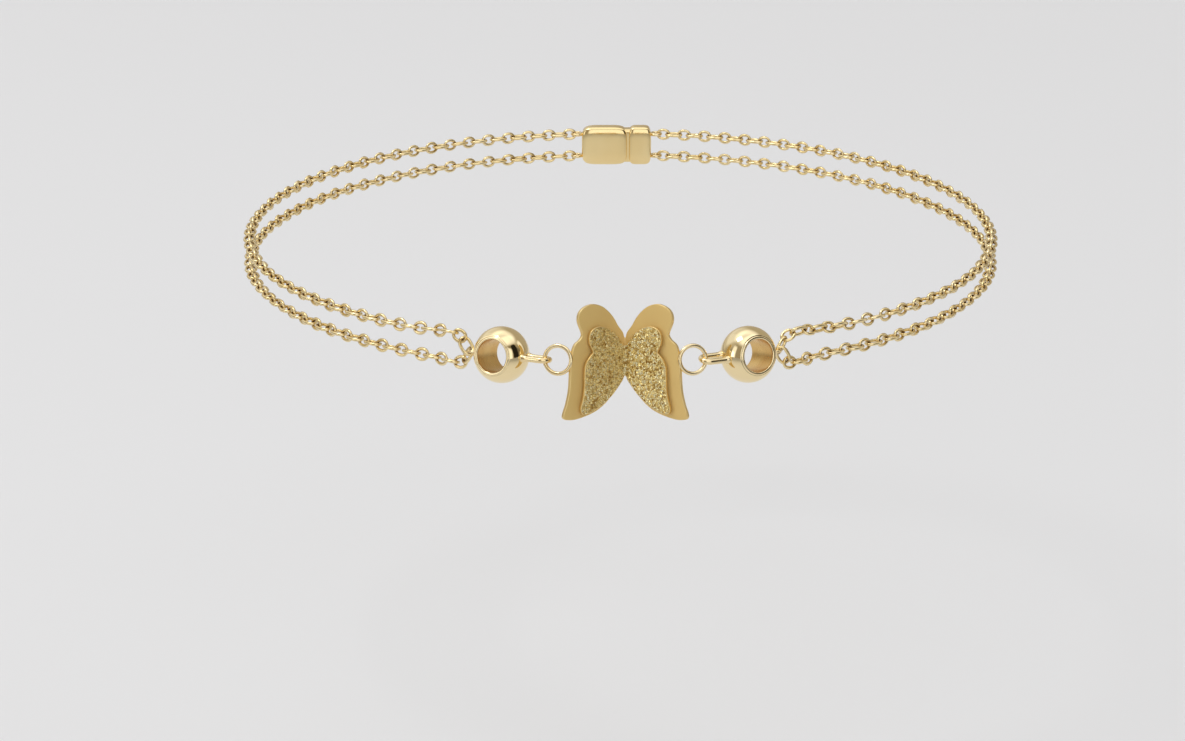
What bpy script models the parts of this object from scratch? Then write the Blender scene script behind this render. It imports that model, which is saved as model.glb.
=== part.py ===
"""Charm anklet worn round an ankle: a folded butterfly between two big-hole beads, and two
rows of fine chain on each side that meet in a clasp at the back. Units in the tables below are
millimetres. The origin is the axis of the ankle, half way between the two rows of chain."""

import math

import bpy
import numpy as np
from mathutils import Matrix, Vector

for item in list(bpy.data.objects):
    bpy.data.objects.remove(item, do_unlink=True)

MM = 0.001

# The loop round the ankle
STRAND_RADIUS = 39.0
CHAIN_WIDTH = 1.3
ROW_SPACING = 2.57
ROW_HEIGHT = ROW_SPACING / 2
GAP = 0.12

# The front assembly leans back on the ankle
LEAN = 13.5
WING_PLATE = 0.4
EDGE_SOFT = 0.05
LEG_RADIUS = STRAND_RADIUS - CHAIN_WIDTH / 2
SPINE_DEPTH = -(LEG_RADIUS + WING_PLATE / 2 + 0.07)
FRONT_LEVEL = 0.28

# Outer wings
OUTER_FOLD = 33.0
OUTER_REACH = 7.12
OUTER_TALL = 10.98
# Half of the outline from the top of the spine to its foot, as shares of reach and height
OUTER_COLUMNS = ("out", "up")
OUTER_OUTLINE = (
    (0.000, 0.1462),
    (0.048, 0.2019),
    (0.121, 0.2591),
    (0.189, 0.3275),
    (0.274, 0.3857),
    (0.377, 0.4321),
    (0.506, 0.4546),
    (0.616, 0.4426),
    (0.707, 0.4094),
    (0.754, 0.3620),
    (0.759, 0.3100),
    (0.736, 0.2650),
    (0.702, 0.2160),
    (0.695, 0.1830),
    (0.740, 0.1440),
    (0.805, 0.1131),
    (0.842, 0.0673),
    (0.868, -0.0076),
    (0.882, -0.0828),
    (0.888, -0.1678),
    (0.896, -0.2519),
    (0.912, -0.3228),
    (0.950, -0.4155),
    (0.981, -0.4666),
    (1.000, -0.5103),
    (0.978, -0.5360),
    (0.916, -0.5447),
    (0.831, -0.5453),
    (0.728, -0.5343),
    (0.670, -0.5244),
    (0.566, -0.5046),
    (0.429, -0.4647),
    (0.286, -0.3953),
    (0.159, -0.2987),
    (0.064, -0.2054),
    (0.000, -0.1460),
)

# Inner wings, a smaller folded plate in front of the first
INNER_FOLD = 37.0
INNER_REACH = 5.36
INNER_TALL = 8.247
INNER_OUTLINE = (
    (0.000, 0.1119),
    (0.093, 0.1652),
    (0.180, 0.2378),
    (0.299, 0.2985),
    (0.432, 0.3410),
    (0.575, 0.3593),
    (0.700, 0.3423),
    (0.777, 0.2973),
    (0.806, 0.2392),
    (0.797, 0.1695),
    (0.753, 0.1113),
    (0.722, 0.0640),
    (0.764, 0.0364),
    (0.839, -0.0166),
    (0.893, -0.0783),
    (0.905, -0.1250),
    (0.912, -0.2225),
    (0.918, -0.3474),
    (0.947, -0.4598),
    (1.000, -0.5737),
    (0.965, -0.6342),
    (0.829, -0.6407),
    (0.686, -0.6081),
    (0.506, -0.5524),
    (0.313, -0.4655),
    (0.180, -0.3820),
    (0.071, -0.3020),
    (0.000, -0.2428),
)
OUTLINE_STEPS = 3

# The ring soldered to the edge of each outer wing
RING_WIRE = 0.34
RING_RADIUS = 1.34
RING_YAW = -20.0
RING_LEVEL = -0.25
RING_SINK = 0.04
RING_SHARE_OF_REACH = 0.872

# Big-hole bead, a barrel turned round its bore
BEAD_OFFSET = 11.84
BEAD_DEPTH = -0.10
BEAD_DIAMETER = 5.5
BEAD_WIDTH = 3.8
BEAD_CROWN = 2.27
BORE_DIAMETER = 3.2
LIP_ROUND = 0.07
BEAD_YAW = 30.0
BEAD_TURN = 3.5
BEAD_SECTIONS = 48

# Long wire loop of the bead, which holds the ring
LOOP_WIRE = 0.50
LOOP_SPREAD = 1.30
LOOP_REACH = 5.50
LOOP_ROLL_LEFT = 2.0
LOOP_ROLL_RIGHT = 24.0

# Small eye of the bead, which holds both rows of chain
EYE_WIRE = 0.30
EYE_RADIUS = 0.50
EYE_REACH = 3.70
SOLDER_DEPTH = 0.45

# Chain rows
RUN_OFFSET = BEAD_DIAMETER / 2 + CHAIN_WIDTH / 2 + GAP
RUN_START = EYE_WIRE / 2 + 0.20
BEND_RADIUS = 0.80
MERGE_ANGLE = 6.5
ROW_POINTS = 17
MERGE_POINTS = 4
BEND_POINTS = 4

# Clasp at the back
CLASP_LENGTH = 8.0
CLASP_THICK = 1.9
CLASP_TALL = ROW_SPACING + 1.9
CLASP_ROUND = 0.7
CLASP_EYE_RADIUS = 0.55
CLASP_EYE_WIRE = 0.36
CLASP_DEPTH = STRAND_RADIUS - 0.15
ROW_END_GAP = 0.30


def material(name, colour, roughness):
    made = bpy.data.materials.new(name)
    made.use_nodes = True
    made.diffuse_color = (*colour, 1.0)
    shader = made.node_tree.nodes["Principled BSDF"]
    shader.inputs["Base Color"].default_value = (*colour, 1.0)
    shader.inputs["Metallic"].default_value = 1.0
    shader.inputs["Roughness"].default_value = roughness
    return made


def mesh_object(name, points, faces, finish=None, helper=False):
    """Object from points in millimetres."""
    mesh = bpy.data.meshes.new(name)
    mesh.from_pydata([tuple(p * MM for p in point) for point in points], [], faces)
    mesh.validate()
    made = bpy.data.objects.new(name, mesh)
    bpy.context.scene.collection.objects.link(made)
    if finish:
        mesh.materials.append(finish)
    if helper:
        made.hide_render = True
        made.display_type = "WIRE"
    return made


def placed(points, matrix):
    return [tuple(matrix @ Vector(point)) for point in points]


def grid_faces(rows, columns, close_rows=True, start=0):
    """Quads between rows of a grid whose columns always close on themselves."""
    faces = []
    for i in range(rows if close_rows else rows - 1):
        for j in range(columns):
            k = (j + 1) % columns
            n = (i + 1) % rows
            faces.append(
                (
                    start + i * columns + j,
                    start + i * columns + k,
                    start + n * columns + k,
                    start + n * columns + j,
                )
            )
    return faces


def torus(radius, wire, around=40, section=10):
    """Wire ring in the XZ plane: a small circle carried round a larger one."""
    points = []
    for i in range(around):
        turn = 2 * math.pi * i / around
        for j in range(section):
            roll = -2 * math.pi * j / section
            reach = radius + wire / 2 * math.cos(roll)
            points.append(
                (
                    reach * math.cos(turn),
                    wire / 2 * math.sin(roll),
                    reach * math.sin(turn),
                )
            )
    return points, grid_faces(around, section)


def bead_body():
    """Barrel turned round Y: crown arc outside, rounded lips and a straight bore inside."""
    centre = BEAD_DIAMETER / 2 - BEAD_CROWN
    half = BEAD_WIDTH / 2
    lip = math.sqrt(BEAD_CROWN**2 - half**2) + centre
    bore = BORE_DIAMETER / 2
    tilt = math.asin((half - LIP_ROUND) / BEAD_CROWN)
    profile = []
    for i in range(17):
        angle = -tilt + 2 * tilt * i / 16
        profile.append(
            (centre + BEAD_CROWN * math.cos(angle), BEAD_CROWN * math.sin(angle))
        )
    profile.append(((lip + bore) / 2 + 0.02, half))
    profile.append((bore + LIP_ROUND / 3, half - LIP_ROUND / 3))
    profile.append((bore, half - LIP_ROUND))
    profile.append((bore, LIP_ROUND - half))
    profile.append((bore + LIP_ROUND / 3, LIP_ROUND / 3 - half))
    profile.append(((lip + bore) / 2 + 0.02, -half))
    points = []
    for i in range(BEAD_SECTIONS):
        turn = -2 * math.pi * i / BEAD_SECTIONS
        for reach, along in profile:
            points.append((reach * math.cos(turn), along, reach * math.sin(turn)))
    return points, grid_faces(BEAD_SECTIONS, len(profile))


def swept(path, wire, section=10):
    """Round wire along a path in a plane that holds the Z axis as its normal."""
    path = [np.array(p, float) for p in path]
    up = np.array((0.0, 0.0, 1.0))
    points = []
    for i, here in enumerate(path):
        before = path[max(i - 1, 0)]
        after = path[min(i + 1, len(path) - 1)]
        along = (after - before) / np.linalg.norm(after - before)
        side = np.cross(up, along)
        for j in range(section):
            roll = 2 * math.pi * j / section
            offset = side * math.cos(roll) + up * math.sin(roll)
            points.append(tuple(here + wire / 2 * offset))
    faces = [f[::-1] for f in grid_faces(len(path), section, close_rows=False)]
    faces.append(tuple(range(section)))
    last = (len(path) - 1) * section
    faces.append(tuple(last + j for j in reversed(range(section))))
    return points, [f[::-1] for f in faces]


def long_loop(side):
    """U of wire from inside the bead to its far end, in the plane of the bore."""
    spread = LOOP_SPREAD / 2
    centre = LOOP_REACH - LOOP_WIRE / 2 - spread
    root = BEAD_DIAMETER / 2 - SOLDER_DEPTH
    path = [(root, -spread, 0), ((root + centre) / 2, -spread, 0)]
    for i in range(13):
        angle = -math.pi / 2 + math.pi * i / 12
        path.append(
            (centre + spread * math.cos(angle), spread * math.sin(angle), 0)
        )
    path.append(((root + centre) / 2, spread, 0))
    path.append((root, spread, 0))
    points, faces = swept(path, LOOP_WIRE)
    if side > 0:
        points = [(-x, -y, z) for x, y, z in points]
    return points, faces


def smooth_outline(table, reach, tall):
    """Catmull-Rom curve through the half outline, with its ends on the spine."""
    rows = [(out * reach, up * tall) for out, up in table]
    first = (-rows[1][0], rows[1][1])
    last = (-rows[-2][0], rows[-2][1])
    rows = np.array([first, *rows, last])
    found = []
    for i in range(1, len(rows) - 2):
        a, b, c, d = rows[i - 1 : i + 3]
        for step in range(OUTLINE_STEPS):
            t = step / OUTLINE_STEPS
            found.append(
                0.5
                * (
                    2 * b
                    + (c - a) * t
                    + (2 * a - 5 * b + 4 * c - d) * t**2
                    + (3 * b - a - 3 * c + d) * t**3
                )
            )
    found.append(rows[-2])
    found[0][0] = 0.0
    found[-1][0] = 0.0
    return found


def folded_plate(table, reach, tall, fold, forward):
    """Closed solid of two mirrored wings that meet in a mitre at the spine."""
    outline = smooth_outline(table, reach, tall)
    fold = math.radians(fold)
    half = WING_PLATE / 2
    count = len(outline)
    loops = []
    for face in (-1, 1):
        mitre = forward + face * half / math.cos(fold)
        for side in (1, -1):
            inner = outline[1:-1] if side < 0 else outline
            for out, up in inner:
                if out == 0.0:
                    loops.append((0.0, -mitre, up))
                    continue
                x = out * math.cos(fold) - face * half * math.sin(fold)
                y = out * math.sin(fold) + face * half * math.cos(fold) + forward
                loops.append((side * x, -y, up))
    total = 2 * count - 2
    right = list(range(count))
    left = [0, *range(count, total), count - 1]
    faces = []
    for face in (0, 1):
        shift = face * total
        faces.append([shift + i for i in (right[::-1] if face else right)])
        faces.append([shift + i for i in (left if face else left[::-1])])
    for row, turned in ((right, False), (left, True)):
        for a, b in zip(row, row[1:]):
            quad = [a, b, total + b, total + a]
            faces.append(quad if turned else quad[::-1])
    return loops, faces


def rounded_block(length, thick, tall, soft):
    """Block along X with rounded long edges and ends, as stacked rounded outlines."""
    steps = 4
    outline = []
    for corner, (sy, sz) in enumerate(((1, 1), (-1, 1), (-1, -1), (1, -1))):
        for i in range(steps + 1):
            angle = math.pi / 2 * (corner + i / steps)
            outline.append((sy, sz, math.cos(angle), math.sin(angle)))
    points = []
    for i in range(2 * (steps + 1)):
        first = i <= steps
        turn = math.pi / 2 * (i if first else 2 * steps + 1 - i) / steps
        end = -1 if first else 1
        x = end * (length / 2 - soft + soft * math.cos(turn))
        inset = soft * (1 - math.sin(turn))
        for sy, sz, cy, cz in outline:
            y = sy * (thick / 2 - soft) + cy * (soft - inset)
            z = sz * (tall / 2 - soft) + cz * (soft - inset)
            points.append((x, y, z))
    rows = 2 * (steps + 1)
    columns = len(outline)
    faces = grid_faces(rows, columns, close_rows=False)
    faces = [f[::-1] for f in faces]
    faces.append(tuple(range(columns)))
    faces.append(tuple((rows - 1) * columns + j for j in reversed(range(columns))))
    return points, [f[::-1] for f in faces]


def union(target, tools):
    for tool in tools:
        join = target.modifiers.new(tool.name, "BOOLEAN")
        join.operation = "UNION"
        join.solver = "EXACT"
        join.object = tool


satin_gold = material("satin_gold", (0.58, 0.42, 0.17), 0.42)
stardust_gold = material("stardust_gold", (0.76, 0.62, 0.34), 0.6)
polished_gold = material("polished_gold", (0.86, 0.70, 0.40), 0.12)
chain_gold = material("chain_gold", (0.82, 0.64, 0.32), 0.2)
clasp_gold = material("clasp_gold", (0.84, 0.67, 0.36), 0.18)

FRONT = Matrix.Translation((0.0, SPINE_DEPTH, FRONT_LEVEL)) @ Matrix.Rotation(
    -math.radians(LEAN), 4, "X"
)

# Outer wings with their two rings
fold = math.radians(OUTER_FOLD)
loops, faces = folded_plate(OUTER_OUTLINE, OUTER_REACH, OUTER_TALL, OUTER_FOLD, 0.0)
outer_wings = mesh_object("outer_wings", placed(loops, FRONT), faces, satin_gold)
soften = outer_wings.modifiers.new("soften", "BEVEL")
soften.width = EDGE_SOFT * MM
soften.segments = 1
soften.limit_method = "ANGLE"
soften.angle_limit = math.radians(75)
edge_out = RING_SHARE_OF_REACH * OUTER_REACH
rings = []
for side, name in ((-1, "ring_left_tool"), (1, "ring_right_tool")):
    yaw = math.radians(RING_YAW)
    near = (
        side * edge_out * math.cos(fold),
        -edge_out * math.sin(fold),
        RING_LEVEL,
    )
    reach = RING_RADIUS - RING_SINK
    centre = (
        near[0] + side * reach * math.cos(yaw),
        near[1] - reach * math.sin(yaw),
        near[2],
    )
    turn = Matrix.Translation(centre) @ Matrix.Rotation(-side * yaw, 4, "Z")
    points, faces = torus(RING_RADIUS, RING_WIRE)
    rings.append(mesh_object(name, placed(points, FRONT @ turn), faces, satin_gold, True))
union(outer_wings, rings)

# Inner wings
forward = (
    WING_PLATE / 2 / math.cos(fold)
    + GAP
    + WING_PLATE / 2 / math.cos(math.radians(INNER_FOLD))
)
loops, faces = folded_plate(INNER_OUTLINE, INNER_REACH, INNER_TALL, INNER_FOLD, forward)
inner_wings = mesh_object("inner_wings", placed(loops, FRONT), faces, stardust_gold)
soften = inner_wings.modifiers.new("soften", "BEVEL")
soften.width = EDGE_SOFT * MM
soften.segments = 1
soften.limit_method = "ANGLE"
soften.angle_limit = math.radians(80)

# Beads with a long loop inwards and a small eye outwards
runs = {}
for side, word in ((-1, "left"), (1, "right")):
    seat = (
        FRONT
        @ Matrix.Translation((side * BEAD_OFFSET, BEAD_DEPTH, 0.0))
        @ Matrix.Rotation(side * math.radians(BEAD_YAW), 4, "Z")
        @ Matrix.Rotation(-side * math.radians(BEAD_TURN), 4, "Y")
    )
    points, faces = bead_body()
    bead = mesh_object("bead_" + word, placed(points, seat), faces, polished_gold)
    roll = LOOP_ROLL_LEFT if side < 0 else LOOP_ROLL_RIGHT
    points, faces = long_loop(side)
    rolled = seat @ Matrix.Rotation(math.radians(roll), 4, "X")
    loop = mesh_object(
        "loop_" + word + "_tool", placed(points, rolled), faces, polished_gold, True
    )
    eye_centre = side * (EYE_REACH - EYE_WIRE / 2 - EYE_RADIUS)
    flat = (
        seat
        @ Matrix.Translation((eye_centre, 0.0, 0.0))
        @ Matrix.Rotation(math.pi / 2, 4, "X")
    )
    points, faces = torus(EYE_RADIUS, EYE_WIRE, 24, 8)
    eye = mesh_object("eye_" + word + "_tool", placed(points, flat), faces, polished_gold, True)
    union(bead, [loop, eye])
    runs[side] = (
        seat @ Vector((side * RUN_OFFSET, 0.0, 0.0)),
        (FRONT.to_3x3() @ Vector((0.0, 0.0, 1.0))).normalized(),
    )


def row_route(side, level):
    """Centre line of one chain row, from the clasp round the ankle to the bead's eye."""
    middle, up = runs[side]
    height = level * ROW_HEIGHT
    corner = middle + up * height
    corner_angle = math.atan2(abs(corner.x), -corner.y)
    corner_radius = math.hypot(corner.x, corner.y)
    end_x = CLASP_LENGTH / 2 + 2 * CLASP_EYE_RADIUS + CLASP_EYE_WIRE / 2 + ROW_END_GAP
    back_angle = math.pi - math.asin(end_x / STRAND_RADIUS)
    merge_angle = corner_angle + math.radians(MERGE_ANGLE)
    bend_angle = corner_angle + BEND_RADIUS / corner_radius
    route = []
    for i in range(ROW_POINTS):
        angle = back_angle + (merge_angle - back_angle) * i / (ROW_POINTS - 1)
        route.append((angle, STRAND_RADIUS, height))
    for i in range(1, MERGE_POINTS):
        t = i / MERGE_POINTS
        ease = t * t * (3 - 2 * t)
        angle = merge_angle + (bend_angle - merge_angle) * t
        radius = STRAND_RADIUS + (corner_radius - STRAND_RADIUS) * ease
        route.append((angle, radius, height + (corner.z - height) * ease))
    points = [
        Vector((side * r * math.sin(a), -r * math.cos(a), z)) for a, r, z in route
    ]
    outwards = Vector((side * math.cos(corner_angle), math.sin(corner_angle), 0.0))
    centre = corner + BEND_RADIUS * outwards - level * BEND_RADIUS * up
    for i in range(BEND_POINTS + 1):
        turn = math.pi / 2 * i / BEND_POINTS
        points.append(
            centre
            + level * BEND_RADIUS * math.cos(turn) * up
            - BEND_RADIUS * math.sin(turn) * outwards
        )
    points.append(middle + level * RUN_START * up)
    return points


def chain_tube(name, route):
    """Plain tube in place of a chain too fine to model link by link."""
    curve = bpy.data.curves.new(name, "CURVE")
    curve.dimensions = "3D"
    curve.bevel_depth = CHAIN_WIDTH / 2 * MM
    curve.bevel_resolution = 2
    curve.use_fill_caps = True
    spline = curve.splines.new("POLY")
    spline.points.add(len(route) - 1)
    for slot, point in zip(spline.points, route):
        slot.co = (point.x * MM, point.y * MM, point.z * MM, 1.0)
    curve.materials.append(chain_gold)
    made = bpy.data.objects.new(name, curve)
    bpy.context.scene.collection.objects.link(made)
    return made


for side, word in ((-1, "left"), (1, "right")):
    for level, row in ((1, "upper"), (-1, "lower")):
        chain_tube("chain_" + word + "_" + row, row_route(side, level))

# Clasp, a plain closed block with an eye for each row
points, faces = rounded_block(CLASP_LENGTH, CLASP_THICK, CLASP_TALL, CLASP_ROUND)
back = Matrix.Translation((0.0, CLASP_DEPTH, 0.0))
clasp = mesh_object("clasp", placed(points, back), faces, clasp_gold)
eyes = []
for side, word in ((-1, "left"), (1, "right")):
    for level, row in ((1, "upper"), (-1, "lower")):
        seat = Matrix.Translation(
            (
                side * (CLASP_LENGTH / 2 + CLASP_EYE_RADIUS),
                CLASP_DEPTH,
                level * ROW_HEIGHT,
            )
        ) @ Matrix.Rotation(math.pi / 2, 4, "X")
        points, faces = torus(CLASP_EYE_RADIUS, CLASP_EYE_WIRE, 24, 8)
        name = "clasp_eye_" + word + "_" + row + "_tool"
        eyes.append(mesh_object(name, placed(points, seat), faces, clasp_gold, True))
union(clasp, eyes)
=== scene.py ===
"""Charm anklet in two rows of fine cable chain, with a folded two-layer butterfly between
two big-hole beads. Lengths in the tables below are millimetres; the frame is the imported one,
with its origin on the axis of the loop, half way between the rows."""

import bpy
import numpy as np
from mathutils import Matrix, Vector


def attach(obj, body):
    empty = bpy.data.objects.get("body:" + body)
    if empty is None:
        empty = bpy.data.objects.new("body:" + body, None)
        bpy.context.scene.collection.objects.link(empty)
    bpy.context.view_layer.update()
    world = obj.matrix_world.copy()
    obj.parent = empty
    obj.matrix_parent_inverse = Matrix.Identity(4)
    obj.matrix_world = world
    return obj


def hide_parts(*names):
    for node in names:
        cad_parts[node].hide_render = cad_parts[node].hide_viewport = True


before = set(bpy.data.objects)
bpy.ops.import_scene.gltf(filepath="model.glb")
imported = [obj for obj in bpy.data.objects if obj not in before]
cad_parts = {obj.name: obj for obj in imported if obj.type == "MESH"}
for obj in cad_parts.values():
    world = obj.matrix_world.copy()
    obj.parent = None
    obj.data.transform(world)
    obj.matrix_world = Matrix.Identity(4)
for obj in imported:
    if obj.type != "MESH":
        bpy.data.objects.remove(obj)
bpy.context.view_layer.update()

MM = 0.001
SIDES = ((-1, "left"), (1, "right"))
LEVELS = ((1, "upper"), (-1, "lower"))
# Points along a plate's outline, rows across its face and round half its edge, and the
# steps round and across a small ring
OUTLINE_POINTS = 230
FACE_ROWS = 17
EDGE_ROWS = 5
SMALL_RING = (36, 12)

# Loop and front assembly
STRAND_RADIUS = 39.0
ROW_HEIGHT = 1.285
LEAN = np.radians(13.5)
SPINE_DEPTH = -38.62
FRONT_LEVEL = 0.28

# Plates, folded at the spine; each edge is a quarter round at the front and at the back
OUTER_THICK = 0.4
INNER_THICK = 0.32
PLATE_EDGE = 0.07
FOLD_RADIUS = 0.45
OUTER_FOLD = np.radians(33.0)
OUTER_REACH = 7.12
OUTER_TALL = 10.98
INNER_FOLD = np.radians(34.5)
INNER_REACH = 5.20
INNER_TALL = 8.247
INNER_DROP = 0.022
PLATE_GAP = 0.10
INNER_FORWARD = (
    OUTER_THICK / 2 / np.cos(OUTER_FOLD) + PLATE_GAP + INNER_THICK / 2 / np.cos(INNER_FOLD)
)

# Half outlines from the top of the spine to its foot, as shares of reach (out) and height (up)
OUTER_OUTLINE = np.array(
    [
        (0.000, 0.1462),
        (0.048, 0.2019),
        (0.121, 0.2591),
        (0.189, 0.3275),
        (0.274, 0.3857),
        (0.377, 0.4321),
        (0.506, 0.4546),
        (0.616, 0.4426),
        (0.707, 0.4094),
        (0.754, 0.3620),
        (0.759, 0.3100),
        (0.736, 0.2650),
        (0.702, 0.2160),
        (0.695, 0.1830),
        (0.740, 0.1440),
        (0.805, 0.1131),
        (0.842, 0.0673),
        (0.868, -0.0076),
        (0.882, -0.0828),
        (0.888, -0.1678),
        (0.896, -0.2519),
        (0.912, -0.3228),
        (0.950, -0.4155),
        (0.981, -0.4666),
        (1.000, -0.5103),
        (0.978, -0.5360),
        (0.916, -0.5447),
        (0.831, -0.5453),
        (0.728, -0.5343),
        (0.670, -0.5244),
        (0.566, -0.5046),
        (0.429, -0.4647),
        (0.286, -0.3953),
        (0.159, -0.2987),
        (0.064, -0.2054),
        (0.000, -0.1460),
    ]
)
INNER_OUTLINE = np.array(
    [
        (0.000, 0.1119),
        (0.093, 0.1652),
        (0.180, 0.2378),
        (0.299, 0.2985),
        (0.432, 0.3410),
        (0.575, 0.3593),
        (0.700, 0.3423),
        (0.777, 0.2973),
        (0.806, 0.2392),
        (0.797, 0.1695),
        (0.753, 0.1113),
        (0.722, 0.0640),
        (0.764, 0.0364),
        (0.839, -0.0166),
        (0.893, -0.0783),
        (0.905, -0.1250),
        (0.912, -0.2225),
        (0.918, -0.3474),
        (0.947, -0.4598),
        (1.000, -0.5737),
        (0.965, -0.6342),
        (0.829, -0.6407),
        (0.686, -0.6081),
        (0.506, -0.5524),
        (0.313, -0.4655),
        (0.180, -0.3820),
        (0.071, -0.3020),
        (0.000, -0.2428),
    ]
)

# Rings on the outer wings
RING_RADIUS = 1.34
RING_WIRE = 0.40
RING_YAW = np.radians(-20.0)
RING_LEVEL = -0.25
RING_SINK = 0.04
RING_SHARE_OF_REACH = 0.872

# Beads
BEAD_OFFSET = 11.84
BEAD_DEPTH = -0.10
BEAD_RADIUS = 2.75
BEAD_HALF = 1.9
BEAD_CROWN = 2.405
BORE_RADIUS = 1.6
LIP_ROUND = 0.10
LIP_STEP = 0.04
CROWN_POINTS = 49
LIP_POINTS = 10
WALL_POINTS = 15
BEAD_TURNS = 96
BEAD_YAW = np.radians(30.0)
BEAD_TURN = np.radians(3.5)
LOOP_WIRE = 0.58
LOOP_SPREAD = 1.30
LOOP_REACH = 5.50
LOOP_SINK = 0.45
SOLDER_SWELL = 0.10
SOLDER_SPREAD = 0.22
SOLDER_SINK = 0.05
LOOP_ROLL = {-1: np.radians(2.0), 1: np.radians(17.0)}
EYE_WIRE = 0.30
EYE_RADIUS = 0.50
EYE_REACH = 3.70

# Cable chain
ROUND_LENGTH = 1.66
LONG_LENGTH = 2.06
LINK_WIDTH = 1.38
LINK_WIRE = 0.33
ROUND_OVAL = 2.1
LONG_OVAL = 2.5
PITCH = (ROUND_LENGTH + LONG_LENGTH) / 2 - 2 * LINK_WIRE
FIRST_LEAN = {(-1, 1): 34.0, (-1, -1): 36.0, (1, 1): 36.0, (1, -1): 32.0}
FIRST_TURN = np.radians(35.0)
FIRST_ASIDE = 0.16
ROW_SWELL = {1: 0.42, -1: 0.14}
SWELL_AT = 1.2
START_TILT = {(-1, 1): 17.0, (-1, -1): 17.0, (1, 1): 55.0, (1, -1): 12.0}
SIDE_TILT = -4.0
TILT_LENGTH = {(-1, 1): 30.0, (-1, -1): 30.0, (1, 1): 19.0, (1, -1): 24.0}
RELEASE = 8.0
MERGE_ANGLE = np.radians(6.5)
ROW_STEPS = 3000
BEND_SPAN = 0.45
LINK_WOBBLE = 0.05
# Painted contact shade on the links: the share of a link's half length where it starts, and the
# share over which it grows
CONTACT_SHADE_FROM = 0.72
CONTACT_SHADE_OVER = 0.2

# Clasp
CLASP_LENGTH = 8.0
CLASP_THICK = 1.9
CLASP_TALL = 2 * ROW_HEIGHT + 1.9
CLASP_DEPTH = STRAND_RADIUS - 0.15
CLASP_SEAM = 1.35
CLASP_SLIT = 0.10
CLASP_CORE_REACH = 1.0
CLASP_CORE_INSET = 0.28
CLASP_EYE_RADIUS = 0.55
CLASP_EYE_WIRE = 0.36


# Meshes from grids


def grid_faces(rows, columns, wrap_rows=False, wrap_columns=True):
    """Quads of a grid: each joins a point, the next one along its row, and the two above."""
    i = np.arange(rows if wrap_rows else rows - 1)[:, None]
    j = np.arange(columns if wrap_columns else columns - 1)[None, :]
    k = (i + 1) % rows
    m = (j + 1) % columns
    corners = [i * columns + j, i * columns + m, k * columns + m, k * columns + j]
    return np.stack(corners, -1).reshape(-1, 4)


def piece(name, points, faces, finishes, nodes, pick=None, contact_shade=None):
    """One object from points in millimetres and rows of faces. A face's corner that repeats
    its neighbour is dropped, so a row that shrinks to a pole closes in triangles. An optional
    value for each point can be given, which the finish reads to paint shade where parts touch."""
    mesh = bpy.data.meshes.new(name)
    mesh.vertices.add(len(points))
    mesh.vertices.foreach_set("co", (np.asarray(points) * MM).astype(np.float32).ravel())
    faces = np.asarray(faces)
    keep = faces != np.roll(faces, 1, axis=1)
    sizes = keep.sum(1)
    mesh.loops.add(int(sizes.sum()))
    mesh.loops.foreach_set("vertex_index", faces[keep].astype(np.int32))
    mesh.polygons.add(len(faces))
    starts = np.concatenate([[0], np.cumsum(sizes)[:-1]])
    mesh.polygons.foreach_set("loop_start", starts.astype(np.int32))
    mesh.polygons.foreach_set("use_smooth", np.ones(len(faces), bool))
    for finish in finishes:
        mesh.materials.append(finish)
    if pick is not None:
        mesh.polygons.foreach_set("material_index", np.asarray(pick, np.int32))
    mesh.update(calc_edges=True)
    if contact_shade is not None:
        mesh.attributes.new("contact_shade", "FLOAT", "POINT").data.foreach_set("value", contact_shade)
    made = bpy.data.objects.new(name, mesh)
    bpy.context.scene.collection.objects.link(made)
    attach(made, "root")
    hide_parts(*nodes)


def turned(angle, axis):
    """Rotation matrix about X, Y or Z by the right-hand rule."""
    c, s = np.cos(angle), np.sin(angle)
    i, j = [(1, 2), (2, 0), (0, 1)]["XYZ".index(axis)]
    matrix = np.eye(3)
    matrix[i, i] = matrix[j, j] = c
    matrix[i, j] = -s
    matrix[j, i] = s
    return matrix


class Seat:
    """A place to set a piece: turn it by a matrix, then move it to a point."""

    def __init__(self, turn, at):
        self.turn = turn
        self.at = np.asarray(at, float)

    def place(self, points):
        return np.asarray(points) @ self.turn.T + self.at

    def then(self, turn, at=(0.0, 0.0, 0.0)):
        return Seat(self.turn @ turn, self.place(at))


FRONT = Seat(turned(-LEAN, "X"), (0.0, SPINE_DEPTH, FRONT_LEVEL))
UP = FRONT.turn @ np.array([0.0, 0.0, 1.0])


def wire_ring(radius, wire, around=72, section=18):
    """Torus in the XZ plane: a circle of half the wire carried round a circle of the radius."""
    turn = np.linspace(0, 2 * np.pi, around, endpoint=False)[:, None]
    roll = np.linspace(0, 2 * np.pi, section, endpoint=False)[None, :]
    reach = radius + wire / 2 * np.cos(roll)
    x = reach * np.cos(turn)
    y = wire / 2 * np.sin(roll) + 0 * turn
    z = reach * np.sin(turn)
    return np.stack([x, y, z], -1).reshape(-1, 3), grid_faces(around, section, True)


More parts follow.
